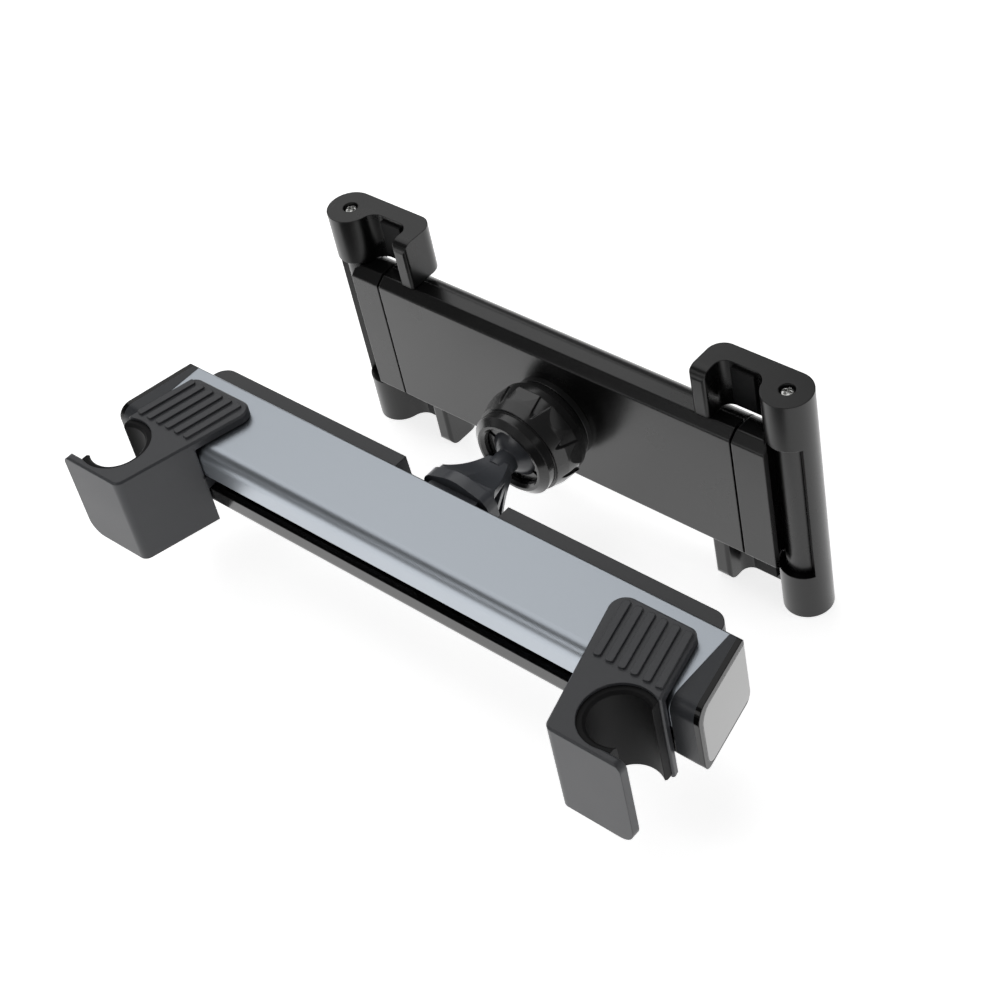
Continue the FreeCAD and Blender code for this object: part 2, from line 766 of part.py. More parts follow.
def hook_liner():
    """The rubber lining of the notch, open outward."""
    low = hook_bottom + liner_drop
    high = hook_top - liner_drop
    liner = rod("z", post_x, 0, notch_radius, low, high)
    bore = notch_radius - liner_wall
    liner = liner.cut(rod("z", post_x, 0, bore, low - beyond, high + beyond))
    liner = liner.cut(Part.makeCone(bore, bore + liner_edge, liner_edge, V(post_x, 0, high - liner_edge)))
    liner = liner.cut(Part.makeCone(bore + liner_edge, bore, liner_edge, V(post_x, 0, low)))
    reach = notch_radius + beyond
    return liner.cut(block(post_x + liner_open, post_x + reach, -reach, reach, low - beyond,
                           high + beyond))


def hook_slide(rear_rack):
    """The right hook's carriage inside the bar, with its rack at the rear or the front."""
    front = cavity_front + carriage_gap
    rear = cavity_rear - carriage_gap
    body = block(carriage_inner, carriage_outer, front, rear, carriage_low, carriage_high)
    facing = 1 if rear_rack else -1
    reach = (cavity_rear - cavity_front) / 2 - carriage_gap - pitch_radius
    last = hook_travel + rack_spare
    corners = [(u, pinion_y + facing * (pitch_radius + v))
               for u, v in rack_corners(-rack_spare, last, -rack_spare - rack_end,
                                        carriage_inner + bite, reach)]
    body = fused(body, prism("z", rack_low, rack_high, corners))
    body = body.cut(block(tongue_inner - seat_gap, carriage_outer + beyond, front - beyond,
                          bar_front + tongue_length + seat_gap, rack_low - seat_gap,
                          rack_high + seat_gap))
    body = body.cut(rod("x", pinion_y, rod_z, rod_radius + running_gap, carriage_inner - beyond,
                        carriage_outer + beyond))
    for x in hook_screw_places():
        body = body.cut(rod("z", x, hook_screw_y, housing_screw_radius, carriage_low - beyond,
                            carriage_high + beyond))
        body = body.cut(rod("z", x, hook_screw_y, housing_head_radius + seat_gap,
                            carriage_high - housing_head, carriage_high + beyond))
    return body


def hook_screws():
    return Part.makeCompound([screw("z", x, hook_screw_y, carriage_low + hook_screw_rise,
                                    carriage_high - housing_head, housing_screw_radius,
                                    housing_head_radius, housing_head)
                              for x in hook_screw_places()])


# Arm and ball joint

def flange_corners(inset):
    side = flange_half - inset
    low = flange_side_height - inset
    high = flange_half_height - inset
    corner = flange_corner - inset
    return [(-side, -low, corner), (0, -high, flange_arch), (side, -low, corner),
            (side, low, corner), (0, high, flange_arch), (-side, low, corner)]


def fan(axis, root, tip, hollow):
    """A flare with hollow sides, from half-width root at the flange to half-width tip at the neck."""
    start = flange_end - bite
    bow = (root + tip) / 2 - hollow * (root - tip)
    middle = (start + neck_y) / 2
    reach = flange_half + beyond

    def at(u, y):
        return V(u, y, -reach) if axis == "z" else V(-reach, y, u)

    edges = [Part.makeLine(at(-root, start), at(root, start)),
             Part.Arc(at(root, start), at(bow, middle), at(tip, neck_y)).toShape(),
             Part.makeLine(at(tip, neck_y), at(-tip, neck_y)),
             Part.Arc(at(-tip, neck_y), at(-bow, middle), at(-root, start)).toShape()]
    return Part.Face(Part.Wire(edges)).extrude(AXES[axis] * (2 * reach))


def arm():
    """Foot, flared and ribbed arm, neck and ball in one moulding."""
    flange = prism("y", flange_y, flange_end, flange_corners(0))
    root = block(-root_half, root_half, bar_rear, flange_y + bite, root_bottom, root_top)
    flare = fan("z", flange_half - flare_margin, neck_radius, flare_side_bow)
    flare = flare.common(prism("y", flange_end - bite, neck_y, flange_corners(flare_margin)))
    for slope in (-flare_crease, flare_crease):
        side_view = fan("x", flange_half_height - flare_margin, neck_radius - bite, flare_top_bow)
        side_view.rotate(V(0, 0, 0), AXES["y"], slope)
        flare = flare.common(side_view)
    cone_start = flange_end - flare_cone_gap
    cone = Part.makeCone(flare_cone, neck_radius + flare_margin, neck_y - cone_start,
                         V(0, cone_start, 0), V(0, 1, 0))
    flare = flare.common(cone)
    for side in (-1, 1):
        low, high = sorted((side * arm_web / 2, side * (flange_half + beyond)))
        for up in (-1, 1):
            pocket = [(flange_end + pocket_margin, up * arm_rib / 2), (neck_y - pocket_end, up * arm_rib / 2),
                      (flange_end + pocket_margin, up * (flange_side_height - pocket_skin / 2))]
            if up < 0:
                pocket.reverse()
            flare = flare.cut(prism("x", low, high, pocket))
    neck = rod("y", 0, 0, neck_radius, neck_y - 4 * bite, ball_y)
    ball = Part.makeSphere(ball_radius, V(0, ball_y, 0))
    body = fused(flange, root, flare, neck, ball)
    for x, z in arm_screw_places():
        body = body.cut(rod("y", x, z, housing_screw_radius, bar_rear - beyond,
                            flange_y + arm_screw_depth + tip_gap))
    return body


def sphere(radius):
    return Part.makeSphere(radius, V(0, ball_y, 0))


def ball_ring():
    inner = ball_radius + running_gap
    slab = rod("y", 0, 0, 2 * ball_radius, ball_y - ring_half, ball_y + ring_half)
    return sphere(inner + ring_wall).cut(sphere(inner)).common(slab)


def ball_pad():
    disc = rod("y", 0, 0, pad_radius, pad_rear - pad_thickness, pad_rear)
    return disc.cut(sphere(ball_radius + ball_gap))


def ring_groove():
    """The room in which the friction ring swings with the ball."""
    radius = ball_radius + running_gap + ring_wall + ring_gap
    step = radians(ring_swing) / 2
    outer = [(radius / cos(step), ball_y + 2 * k * radius * sin(step) / cos(step)) for k in (-0.5, 0.5)]
    ends = [(radius * cos(2 * step), ball_y + k * radius * sin(2 * step)) for k in (-1, 1)]
    return turned([(0, ball_y), ends[0], outer[0], outer[1], ends[1]])


def socket_screw_places():
    reach = socket_radius - socket_screw_inset
    return [(reach * cos(radians(a)), reach * sin(radians(a))) for a in (45, 135, 225, 315)]


def ball_socket():
    body = fused(rod("y", 0, 0, socket_radius, finger_end_y, socket_base_y + bite),
                 rod("y", 0, 0, socket_base_radius, socket_base_y, cradle_back),
                 rod("y", 0, 0, spigot_radius, cradle_back - bite, cradle_back + cradle_wall - seat_gap))
    body = body.cut(sphere(ball_radius + ball_gap)).cut(ring_groove())
    body = body.cut(rod("y", 0, 0, pad_radius + ball_gap, ball_y, pad_rear + running_gap))
    for i in range(finger_slots):
        slot = block(0, socket_radius + beyond, finger_end_y - beyond, finger_slot_end_y,
                     -finger_slot_width / 2, finger_slot_width / 2)
        slot.rotate(V(0, 0, 0), V(0, 1, 0), (i + 0.5) * 360 / finger_slots)
        body = body.cut(slot)
    for x, z in socket_screw_places():
        body = body.cut(rod("y", x, z, socket_screw_radius, socket_screw_tip - tip_gap,
                            cradle_back + beyond))
    return body


def socket_screws():
    """Countersunk screws through the back cover into the socket."""
    screws = []
    seat = cradle_back + cradle_wall
    for x, z in socket_screw_places():
        shank = rod("y", x, z, socket_screw_radius, socket_screw_tip, seat - socket_screw_cone / 2)
        head = Part.makeCone(socket_screw_radius, socket_screw_head, socket_screw_cone,
                             V(x, seat - socket_screw_cone, z), V(0, 1, 0))
        screws.append(fused(shank, head))
    return Part.makeCompound(screws)


def collar_profile(lift):
    return [(petal_front_radius + lift, petal_front_y),
            (petal_shoulder_radius + lift, petal_front_y + petal_shoulder),
            (petal_widest_radius + lift, petal_rear_y)]


def collar_nut():
    """The clamping nut: a turned body and eight raised petals with tapering flutes between them."""
    front = [(collar_mouth, collar_front_y), (collar_mouth + collar_face, collar_front_y),
             (collar_front_radius, collar_front_y + collar_bevel)]
    tail = [(tail_radius, petal_rear_y + tail_length), (tail_rear_radius, collar_rear_y)]
    body = turned(front + collar_profile(-petal_height) + tail + [(collar_mouth, collar_rear_y)])
    petals = turned([(collar_mouth, petal_front_y)] + collar_profile(0) + [(collar_mouth, petal_rear_y)])
    flats = []
    for i in range(petal_count):
        angle = radians(90 + (i + 0.5) * 360 / petal_count)
        reach = petal_flat / cos(pi / petal_count)
        flats.append((reach * cos(angle), reach * sin(angle)))
    petals = petals.common(prism("y", petal_front_y, petal_rear_y, flats))
    flute_y = petal_front_y - flute_start
    start = V(petal_front_radius + flute_out, flute_y, 0)
    along = V(petal_widest_radius + flute_out, petal_rear_y + bite, 0) - start
    for i in range(petal_count):
        flute = Part.makeCone(0, flute_radius, along.Length, start, along)
        flute.rotate(V(0, 0, 0), V(0, 1, 0), (i + 0.5) * 360 / petal_count)
        petals = petals.cut(flute)
    body = fused(body, petals)
    bore_start = finger_end_y - slide_gap
    body = body.cut(rod("y", 0, 0, socket_radius + ball_gap, bore_start, collar_rear_y + beyond))
    mouth = Part.makeCone(collar_mouth + collar_mouth_bevel, collar_mouth, collar_mouth_bevel,
                          V(0, collar_front_y, 0), V(0, 1, 0))
    return body.cut(mouth)


# Cradle

def cradle_corners():
    return [(cradle_back, -back_half_height, cradle_edge), (cradle_back, back_half_height, cradle_edge),
            (ridge_y, cradle_half_height, cradle_edge), (cradle_front, cradle_half_height, front_corner),
            (cradle_front, -cradle_half_height, front_corner), (ridge_y, -cradle_half_height, cradle_edge)]


def cavity_corners():
    wall = cradle_wall
    return [(cradle_back + wall, wall - back_half_height),
            (cradle_back + wall, back_half_height - wall),
            (ridge_y + bite, cradle_half_height - wall),
            (front_inside, cradle_half_height - wall, front_corner - wall),
            (front_inside, wall - cradle_half_height, front_corner - wall),
            (ridge_y + bite, wall - cradle_half_height)]


def cradle_shell(y0, y1):
    outer = prism("x", -cradle_half, cradle_half, cradle_corners())
    inner = prism("x", -cradle_half - beyond, cradle_half + beyond, cavity_corners())
    slab = block(-cradle_half - beyond, cradle_half + beyond, y0, y1, -cradle_half_height - beyond,
                 cradle_half_height + beyond)
    return outer.cut(inner).common(slab)


def back_cover():
    body = cradle_shell(cradle_back - beyond, cradle_seam_y)
    bosses = [rod("y", x, 0, post_boss_radius, cradle_back + cradle_wall - bite, cradle_seam_y)
              for x in cover_screw_places]
    body = fused(body, *bosses)
    body = body.cut(rod("y", 0, 0, spigot_radius + seat_gap, cradle_back - beyond,
                        cradle_back + cradle_wall + beyond))
    for x in cover_screw_places:
        body = body.cut(rod("y", x, 0, housing_screw_radius, cradle_back + cradle_wall,
                            cradle_seam_y + beyond))
    for screw_body in socket_screws().Solids:
        body = body.cut(screw_body)
    return body


def front_plate():
    body = cradle_shell(cradle_seam_y, cradle_front + beyond)
    added = [rod("y", x, 0, post_boss_radius, cradle_seam_y, front_inside + bite)
             for x in cover_screw_places]
    added.append(rod("y", 0, 0, post_boss_radius, slide_arm_front + slide_gap, front_inside + bite))
    for side in (-1, 1):
        added.append(rod("y", -side * spring_post_x, side * cradle_spring_z, peg_half,
                         slide_arm_front + slide_gap, front_inside + bite))
    body = fused(body, *added)
    for side in (-1, 1):
        low, high = sorted((side * grip_inner, side * grip_outer))
        recess = grip_outline(low, high, 0)
        body = body.cut(prism("y", cradle_front - grip_recess, cradle_front + beyond, recess))
    for x in cover_screw_places:
        body = body.cut(rod("y", x, 0, housing_screw_radius, cradle_seam_y - beyond,
                            cradle_front + beyond))
        body = body.cut(rod("y", x, 0, housing_head_radius + seat_gap, cover_screw_seat(),
                            cradle_front + beyond))
    return body.cut(rod("y", 0, 0, pinion_pin_radius, slide_arm_front, front_inside))


def cover_screw_seat():
    return cradle_front - grip_recess - housing_head - seat_gap


def grip_outline(low, high, gap):
    z = grip_half_height - gap
    return [(low + gap, -z, grip_corner), (high - gap, -z, grip_corner), (high - gap, z, grip_corner),
            (low + gap, z, grip_corner)]


def grip_pad():
    base = cradle_front - grip_recess
    return prism("y", base, claw_web_y + grip_proud, grip_outline(grip_inner, grip_outer, seat_gap))


def cover_screws():
    seat = cover_screw_seat()
    return Part.makeCompound([screw("y", x, 0, cradle_back + cradle_wall + tip_gap, seat,
                                    housing_screw_radius, housing_head_radius, housing_head)
                              for x in cover_screw_places])


def cradle_pinion():
    gear = prism("y", slide_arm_back + seat_gap, slide_arm_front - seat_gap, gear_corners())
    return gear.cut(rod("y", 0, 0, pinion_pin_radius + running_gap, slide_arm_back - beyond,
                        slide_arm_front + beyond))


def cradle_pinion_pin():
    return rod("y", 0, 0, pinion_pin_radius, cradle_back + cradle_wall, front_inside)


def cradle_spring():
    """The right slider's return spring, from a post of the front plate to the slider's peg."""
    start = V(-spring_post_x, cradle_spring_y, cradle_spring_z)
    end = V(-peg_x, cradle_spring_y, cradle_spring_z)
    reach = V(eye_radius - seat_gap, 0, 0)
    body = coil(start + reach, end - reach, cradle_spring_radius, cradle_spring_wire, cradle_spring_turns)
    eyes = []
    for centre in (start, end):
        low = centre.y - eye_half
        high = centre.y + eye_half
        ring = rod("y", centre.x, centre.z, eye_radius, low, high)
        eyes.append(ring.cut(rod("y", centre.x, centre.z, eye_radius - eye_wire, low, high)))
    return body.fuse(eyes)


def slider():
    """The right slider: end block, neck and knuckle for the claw, and an arm with a rack."""
    end_block = prism("x", block_inner, block_outer, cradle_corners())
    end_block = end_block.cut(rod("z", claw_axis_x, claw_axis_y, strip_radius, -claw_low, claw_low))
    knuckle = rod("z", claw_axis_x, claw_axis_y, knuckle_radius, -knuckle_half, knuckle_half)
    neck_high = cradle_half_height - neck_inset
    neck = block(block_inner + beyond, claw_axis_x, claw_axis_y - neck_half, claw_axis_y + neck_half,
                 -neck_high, neck_high)
    corners = [(u, pitch_radius + v) for u, v in
               rack_corners(-slider_travel - rack_spare, rack_spare, slide_arm_end, block_inner + bite,
                            slide_arm_high - pitch_radius)]
    rack = prism("y", slide_arm_back, slide_arm_front, corners)
    peg = rod("y", -peg_x, cradle_spring_z, peg_half, slide_arm_front - bite, front_inside - slide_gap)
    body = fused(end_block, neck, knuckle, rack, peg)
    for up in (-1, 1):
        low, high = sorted((up * claw_screw_tip, up * (knuckle_half + beyond)))
        body = body.cut(rod("z", claw_axis_x, claw_axis_y, claw_screw_radius, low, high))
    return body


def slider_left():
    other = slider()
    other.rotate(V(0, 0, 0), V(0, 1, 0), 180)
    return other


def claw_screws():
    screws = []
    for up in (-1, 1):
        screws.append(screw("z", claw_axis_x, claw_axis_y, up * claw_screw_tip, up * claw_screw_seat,
                            claw_screw_radius, claw_head_radius, up * claw_head))
    return Part.makeCompound(screws)


# Claws

def fillet_centre():
    """The centre of the hollow fillet between the web's inner face and the hub."""
    y = web_inner_y - web_fillet
    along = sqrt((claw_hub_radius + web_fillet) ** 2 - (claw_axis_y - y) ** 2)
    return claw_axis_x - along, y


def claw_fillet():
    x, y = fillet_centre()
    share = claw_hub_radius / (claw_hub_radius + web_fillet)
    corners = [(x, web_inner_y + bite), (claw_axis_x, web_inner_y + bite), (claw_axis_x, claw_axis_y),
               (claw_axis_x - share * (claw_axis_x - x), claw_axis_y - share * (claw_axis_y - y)), (x, y)]
    return prism("z", claw_low, claw_high, corners).cut(rod("z", x, y, web_fillet, claw_low, claw_high))


def claw():
    """The right claw: an upper and a lower J hook joined by the shell outside the knuckle."""
    plan = [(lip_outer_x, lip_end_y, lip_edge), (lip_outer_x, claw_web_y, web_outer_corner),
            (claw_axis_x, claw_web_y), (claw_axis_x, web_inner_y),
            (lip_outer_x + lip_wall, web_inner_y, web_inner_corner),
            (lip_outer_x + lip_wall, lip_end_y, lip_edge)]
    end_profile = [(lip_end_y, 0), (claw_web_y, 0), (claw_web_y, claw_high),
                   (lip_end_y, claw_high, lip_end_radius)]
    rounded_end = prism("x", lip_outer_x, claw_axis_x, end_profile)
    shell = rod("z", claw_axis_x, claw_axis_y, claw_hub_radius, -claw_low - bite, claw_low + bite)
    shell = shell.cut(rod("z", claw_axis_x, claw_axis_y, shell_inner, -claw_low, claw_low))
    reach = 4 * claw_hub_radius
    wedge = [(claw_axis_x, claw_axis_y)]
    for share in (0, 1 / 3, 2 / 3, 1):
        angle = radians(shell_start + share * (shell_end - shell_start))
        wedge.append((claw_axis_x + reach * cos(angle), claw_axis_y + reach * sin(angle)))
    shell = shell.common(prism("z", -claw_low - beyond, claw_low + beyond, wedge))
    pieces = [shell]
    upper = fused(rod("z", claw_axis_x, claw_axis_y, claw_hub_radius, claw_low, claw_high),
                  prism("z", claw_low, claw_high, plan).common(rounded_end), claw_fillet())
    pieces += [upper, upper.mirror(V(0, 0, 0), V(0, 0, 1))]
    body = fused(*pieces)
    for up in (-1, 1):
        low, high = sorted((up * claw_screw_seat, up * (claw_high + beyond)))
        body = body.cut(rod("z", claw_axis_x, claw_axis_y, claw_head_radius + seat_gap, low, high))
        low, high = sorted((up * (claw_low - beyond), up * (claw_high + beyond)))
        body = body.cut(rod("z", claw_axis_x, claw_axis_y, claw_screw_radius + running_gap, low, high))
    return body


def claw_pads():
    low_x = lip_outer_x + lip_wall + web_inner_corner
    high_x = fillet_centre()[0]
    pads = []
    for low, high in ((claw_low, claw_high), (-claw_high, -claw_low)):
        pads.append(block(low_x, high_x, web_inner_y - claw_pad_thickness, web_inner_y,
                          low + claw_pad_margin, high - claw_pad_margin))
    return Part.makeCompound(pads)


save("aluminium_cover", aluminium_cover())
save("lower_housing", lower_housing())
save("rear_plate", rear_plate())
save("hook_pinion", hook_pinion())
save("hook_pinion_pin", hook_pinion_pin())
save("housing_screws", housing_screws())
save("arm", arm())
save("arm_screws", arm_screws())
save("ball_ring", ball_ring())
save("ball_pad", ball_pad())
save("ball_socket", ball_socket())
save("socket_screws", socket_screws())
save("collar_nut", collar_nut())
save("back_cover", back_cover())
save("front_plate", front_plate())
save("cover_screws", cover_screws())
save("cradle_pinion", cradle_pinion())
save("cradle_pinion_pin", cradle_pinion_pin())
save("slider_right", slider())
save("slider_left", slider_left())
save("cradle_spring_right", cradle_spring())
left_spring = cradle_spring()
left_spring.rotate(V(0, 0, 0), V(0, 1, 0), 180)
save("cradle_spring_left", left_spring)

for side, name in ((1, "right"), (-1, "left")):
    save("end_cap_" + name, sided(end_cap(), side))
    save("end_panel_" + name, sided(end_panel(), side))
    save("guide_rod_" + name, sided(guide_rod(), side))
    save("hook_spring_" + name, sided(hook_spring(), side))
    save("hook_" + name, sided(hook(), side))
    save("hook_liner_" + name, sided(hook_liner(), side))
    save("hook_slide_" + name, sided(hook_slide(side > 0), side))
    save("hook_screws_" + name, sided(hook_screws(), side))
    save("grip_pad_" + name, sided(grip_pad(), side))
    save("claw_" + name, sided(claw(), side))
    save("claw_pads_" + name, sided(claw_pads(), side))
    save("claw_screws_" + name, sided(claw_screws(), side))
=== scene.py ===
import math

import bmesh
import bpy
from mathutils import Matrix, Vector


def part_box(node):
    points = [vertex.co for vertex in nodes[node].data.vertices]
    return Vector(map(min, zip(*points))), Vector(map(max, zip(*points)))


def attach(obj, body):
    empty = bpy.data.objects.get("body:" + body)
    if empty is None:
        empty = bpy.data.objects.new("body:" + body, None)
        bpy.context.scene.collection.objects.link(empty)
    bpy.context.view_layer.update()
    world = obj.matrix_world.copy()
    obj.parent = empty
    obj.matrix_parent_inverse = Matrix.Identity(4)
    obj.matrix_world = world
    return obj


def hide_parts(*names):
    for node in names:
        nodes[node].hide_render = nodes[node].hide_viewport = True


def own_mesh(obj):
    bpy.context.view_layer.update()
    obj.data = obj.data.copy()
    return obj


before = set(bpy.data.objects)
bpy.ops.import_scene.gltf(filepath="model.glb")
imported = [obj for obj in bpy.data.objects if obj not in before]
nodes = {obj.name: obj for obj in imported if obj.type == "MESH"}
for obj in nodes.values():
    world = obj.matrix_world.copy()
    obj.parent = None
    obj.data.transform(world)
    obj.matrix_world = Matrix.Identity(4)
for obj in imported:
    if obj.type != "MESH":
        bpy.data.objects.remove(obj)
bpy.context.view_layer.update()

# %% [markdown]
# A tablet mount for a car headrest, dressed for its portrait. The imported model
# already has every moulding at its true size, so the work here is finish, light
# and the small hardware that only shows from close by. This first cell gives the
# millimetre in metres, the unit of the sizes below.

MM = 0.001

# %% [markdown]
# A finish is a small tree of nodes. It could be clicked together by hand, but a
# script needs it again for each moulding. Two short helpers keep that readable:
# one adds a node with its settings, the other joins two sockets.

# %% Helpers for node trees
def link(tree, source, target):
    tree.links.new(source, target)


def add_node(tree, kind, **values):
    node = tree.nodes.new(kind)
    for name, value in values.items():
        setattr(node, name, value)
    return node


print("helpers ready")

# %% [markdown]
# Moulded plastic is never one flat colour. Its mould is spark eroded, which leaves
# a fine grain that catches light, and handling polishes it here and there. A photo
# of plastic could be laid over it, but noise has no seams and works at any scale.
# So one recipe builds it from two noises: a fine one presses the grain, and a
# broad one makes gloss and colour uneven. The bevel node softens the light on
# each edge, as on a real moulding, whose edges are never quite sharp.

# %% Moulded plastic
GRAIN_HEIGHT = 0.05 * MM
GRAIN_DETAIL = 3.0
HANDLING_SCALE = 60.0
HANDLING_DETAIL = 4.0
COAT_ROUGHNESS = 0.08
SMOOTHEST = 0.02
EDGE_SAMPLES = 6


def moulded(name, colour, rough, grain=0.15, grain_size=0.25, patch=0.05, mottle=0.15,
            coat=0.0, shine=0.5, edge=0.35):
    """Grain size and edge radius are in mm; patch and mottle are the unevenness of gloss and colour."""
    material = bpy.data.materials.new(name)
    material.use_nodes = True
    tree = material.node_tree
    shader = tree.nodes["Principled BSDF"]
    shader.inputs["Coat Weight"].default_value = coat
    shader.inputs["Coat Roughness"].default_value = COAT_ROUGHNESS
    shader.inputs["Specular IOR Level"].default_value = shine
    place = add_node(tree, "ShaderNodeTexCoord")

    fine = add_node(tree, "ShaderNodeTexNoise")
    fine.inputs["Scale"].default_value = 1.0 / (grain_size * MM)
    fine.inputs["Detail"].default_value = GRAIN_DETAIL
    broad = add_node(tree, "ShaderNodeTexNoise")
    broad.inputs["Scale"].default_value = HANDLING_SCALE
    broad.inputs["Detail"].default_value = HANDLING_DETAIL
    link(tree, place.outputs["Object"], fine.inputs["Vector"])
    link(tree, place.outputs["Object"], broad.inputs["Vector"])

    gloss = add_node(tree, "ShaderNodeMapRange")
    gloss.inputs["To Min"].default_value = max(SMOOTHEST, rough - patch)
    gloss.inputs["To Max"].default_value = min(1.0, rough + patch)
    link(tree, broad.outputs["Fac"], gloss.inputs["Value"])
    link(tree, gloss.outputs["Result"], shader.inputs["Roughness"])

    tint = add_node(tree, "ShaderNodeMix", data_type="RGBA")
    tint.inputs["A"].default_value = (*[c * (1 - mottle) for c in colour], 1.0)
    tint.inputs["B"].default_value = (*[min(1.0, c * (1 + mottle)) for c in colour], 1.0)
    link(tree, broad.outputs["Fac"], tint.inputs["Factor"])
    link(tree, tint.outputs["Result"], shader.inputs["Base Color"])

    broken_edge = add_node(tree, "ShaderNodeBevel", samples=EDGE_SAMPLES)
    broken_edge.inputs["Radius"].default_value = edge * MM
    bump = add_node(tree, "ShaderNodeBump")
    bump.inputs["Strength"].default_value = grain
    bump.inputs["Distance"].default_value = GRAIN_HEIGHT
    link(tree, fine.outputs["Fac"], bump.inputs["Height"])
    link(tree, broken_edge.outputs["Normal"], bump.inputs["Normal"])
    link(tree, bump.outputs["Normal"], shader.inputs["Normal"])
    return material


print("recipe for plastics: grain", GRAIN_HEIGHT / MM, "mm high")

# %% [markdown]
# The cover is blasted and anodised, and the screws are plated. Both are the same
# recipe with the shader set to metal, because blasting leaves a grain much like
# that of a mould. Metal is cleaner than plastic, so its colour and gloss vary less.

# %% Metal
def metal(name, colour, rough, **grain):
    material = moulded(name, colour, rough, patch=0.02, mottle=0.03, edge=0.25, **grain)
    material.node_tree.nodes["Principled BSDF"].inputs["Metallic"].default_value = 1.0
    return material


print("recipe for metals")

# %% [markdown]
# Each end cap is grained, but its outer rim, next to the mirror inlay, is polished.
# Two materials on one mesh would need cut faces. Instead the finish asks each
# point how far it lies along the direction that the cap's slanted face looks to,
# and changes colour and gloss beyond a given reach. The coordinates are folded
# about the middle plane, so both caps share one finish.

# %% Polished rim
def polished_rim(material, outward, reach, colour, rough):
    tree = material.node_tree
    shader = tree.nodes["Principled BSDF"]
    folded = add_node(tree, "ShaderNodeVectorMath", operation="ABSOLUTE")
    along = add_node(tree, "ShaderNodeVectorMath", operation="DOT_PRODUCT")
    along.inputs[1].default_value = outward
    beyond = add_node(tree, "ShaderNodeMath", operation="GREATER_THAN")
    beyond.inputs[1].default_value = reach
    link(tree, tree.nodes["Texture Coordinate"].outputs["Object"], folded.inputs[0])
    link(tree, folded.outputs["Vector"], along.inputs[0])
    link(tree, along.outputs["Value"], beyond.inputs[0])
    for kind, socket, value in (("RGBA", "Base Color", (*colour, 1.0)), ("FLOAT", "Roughness", rough)):
        grained = shader.inputs[socket].links[0].from_socket
        choice = add_node(tree, "ShaderNodeMix", data_type=kind)
        share, inside, outside = [each for each in choice.inputs if each.enabled]
        chosen = next(each for each in choice.outputs if each.enabled)
        outside.default_value = value
        link(tree, beyond.outputs["Value"], share)
        link(tree, grained, inside)
        link(tree, chosen, shader.inputs[socket])


print("rim helper ready")

# %% [markdown]
# The rubber pads of the cradle have fine grooves, too small to be worth faces. A
# wave pattern pressed in with a second bump does it, on top of the rubber's grain.
# At a scale of 1 that pattern repeats every 0.314 m, so the scale comes from the
# pitch of the grooves.

# %% Ribbed rubber
PITCH_AT_SCALE_ONE = 0.314
GROOVE_STRENGTH = 0.6


def ribbed(material, pitch, depth):
    """Presses grooves into a rubber; pitch and depth are in mm."""
    tree = material.node_tree
    waves = add_node(tree, "ShaderNodeTexWave", bands_direction="X", wave_profile="SIN")
    waves.inputs["Scale"].default_value = PITCH_AT_SCALE_ONE / (pitch * MM)
    grooves = add_node(tree, "ShaderNodeBump")
    grooves.inputs["Strength"].default_value = GROOVE_STRENGTH
    grooves.inputs["Distance"].default_value = depth * MM
    link(tree, tree.nodes["Texture Coordinate"].outputs["Object"], waves.inputs["Vector"])
    link(tree, waves.outputs["Fac"], grooves.inputs["Height"])
    link(tree, tree.nodes["Bump"].outputs["Normal"], grooves.inputs["Normal"])
    link(tree, grooves.outputs["Normal"], tree.nodes["Principled BSDF"].inputs["Normal"])


print("groove helper ready")

# %% [markdown]
# The finishes of this mount, one value each. The cover is bead blasted and
# anodised aluminium, slightly blue. The hooks and caps are a grained dark grey,
# the cradle is a smooth black, the tray and the collar are polished, and the cap
# inlays are nearly mirrors. Black plastic reflects so little colour of its own
# that its gloss does the work.

# %% Finishes
anodised = metal("anodised cover", (0.36, 0.389, 0.424), 0.34, grain=0.12, grain_size=0.12)
steel = metal("plated steel", (0.5, 0.5, 0.49), 0.24, grain=0.05, grain_size=0.3)
grained_grey = moulded("grained dark grey", (0.034, 0.035, 0.038), 0.42)
cap_grey = moulded("cap dark grey", (0.058, 0.061, 0.067), 0.36, grain=0.1, shine=0.22)
hook_black = moulded("hook black", (0.062, 0.064, 0.07), 0.42, grain=0.2, shine=0.4)
arm_black = moulded("arm black", (0.08, 0.085, 0.096), 0.3, grain=0.06)
collar_black = moulded("collar black", (0.022, 0.022, 0.0223), 0.2, grain=0.03, patch=0.03)
polished_black = moulded("polished black", (0.006, 0.006, 0.006), 0.16, grain=0.02, patch=0.03)
inlay_black = moulded("mirror inlay", (0.008, 0.008, 0.008), 0.05, grain=0.01, patch=0.01, coat=1.0)
cradle_black = moulded("cradle black", (0.0045, 0.0045, 0.0046), 0.26, grain=0.12, grain_size=0.2)
slider_black = moulded("slider black", (0.004, 0.004, 0.0041), 0.28, grain=0.06, shine=0.45)
claw_black = moulded("claw black", (0.004, 0.004, 0.0041), 0.28, grain=0.06, shine=0.4)
rack_black = moulded("rack acetal", (0.012, 0.012, 0.012), 0.35, grain=0.03)
nylon = moulded("gear nylon", (0.7, 0.69, 0.64), 0.45, grain=0.05)
rubber = moulded("liner rubber", (0.006, 0.006, 0.0065), 0.62, grain=0.3, grain_size=0.2, shine=0.2)
grip_rubber = moulded("grip rubber", (0.012, 0.012, 0.012), 0.6, grain=0.3, grain_size=0.2)
print("finishes", len(bpy.data.materials))

# %% [markdown]
# The rim and the grooves go on last. The slant of a cap is measured on the model:
# the cap's rear wall ends sooner than its front wall, and the line between the two
# ends is the outer face.

# %% Rim of the caps and grooves of the grip pads
RIM_WIDTH = 1.5 * MM
WALL_TOLERANCE = 0.1 * MM

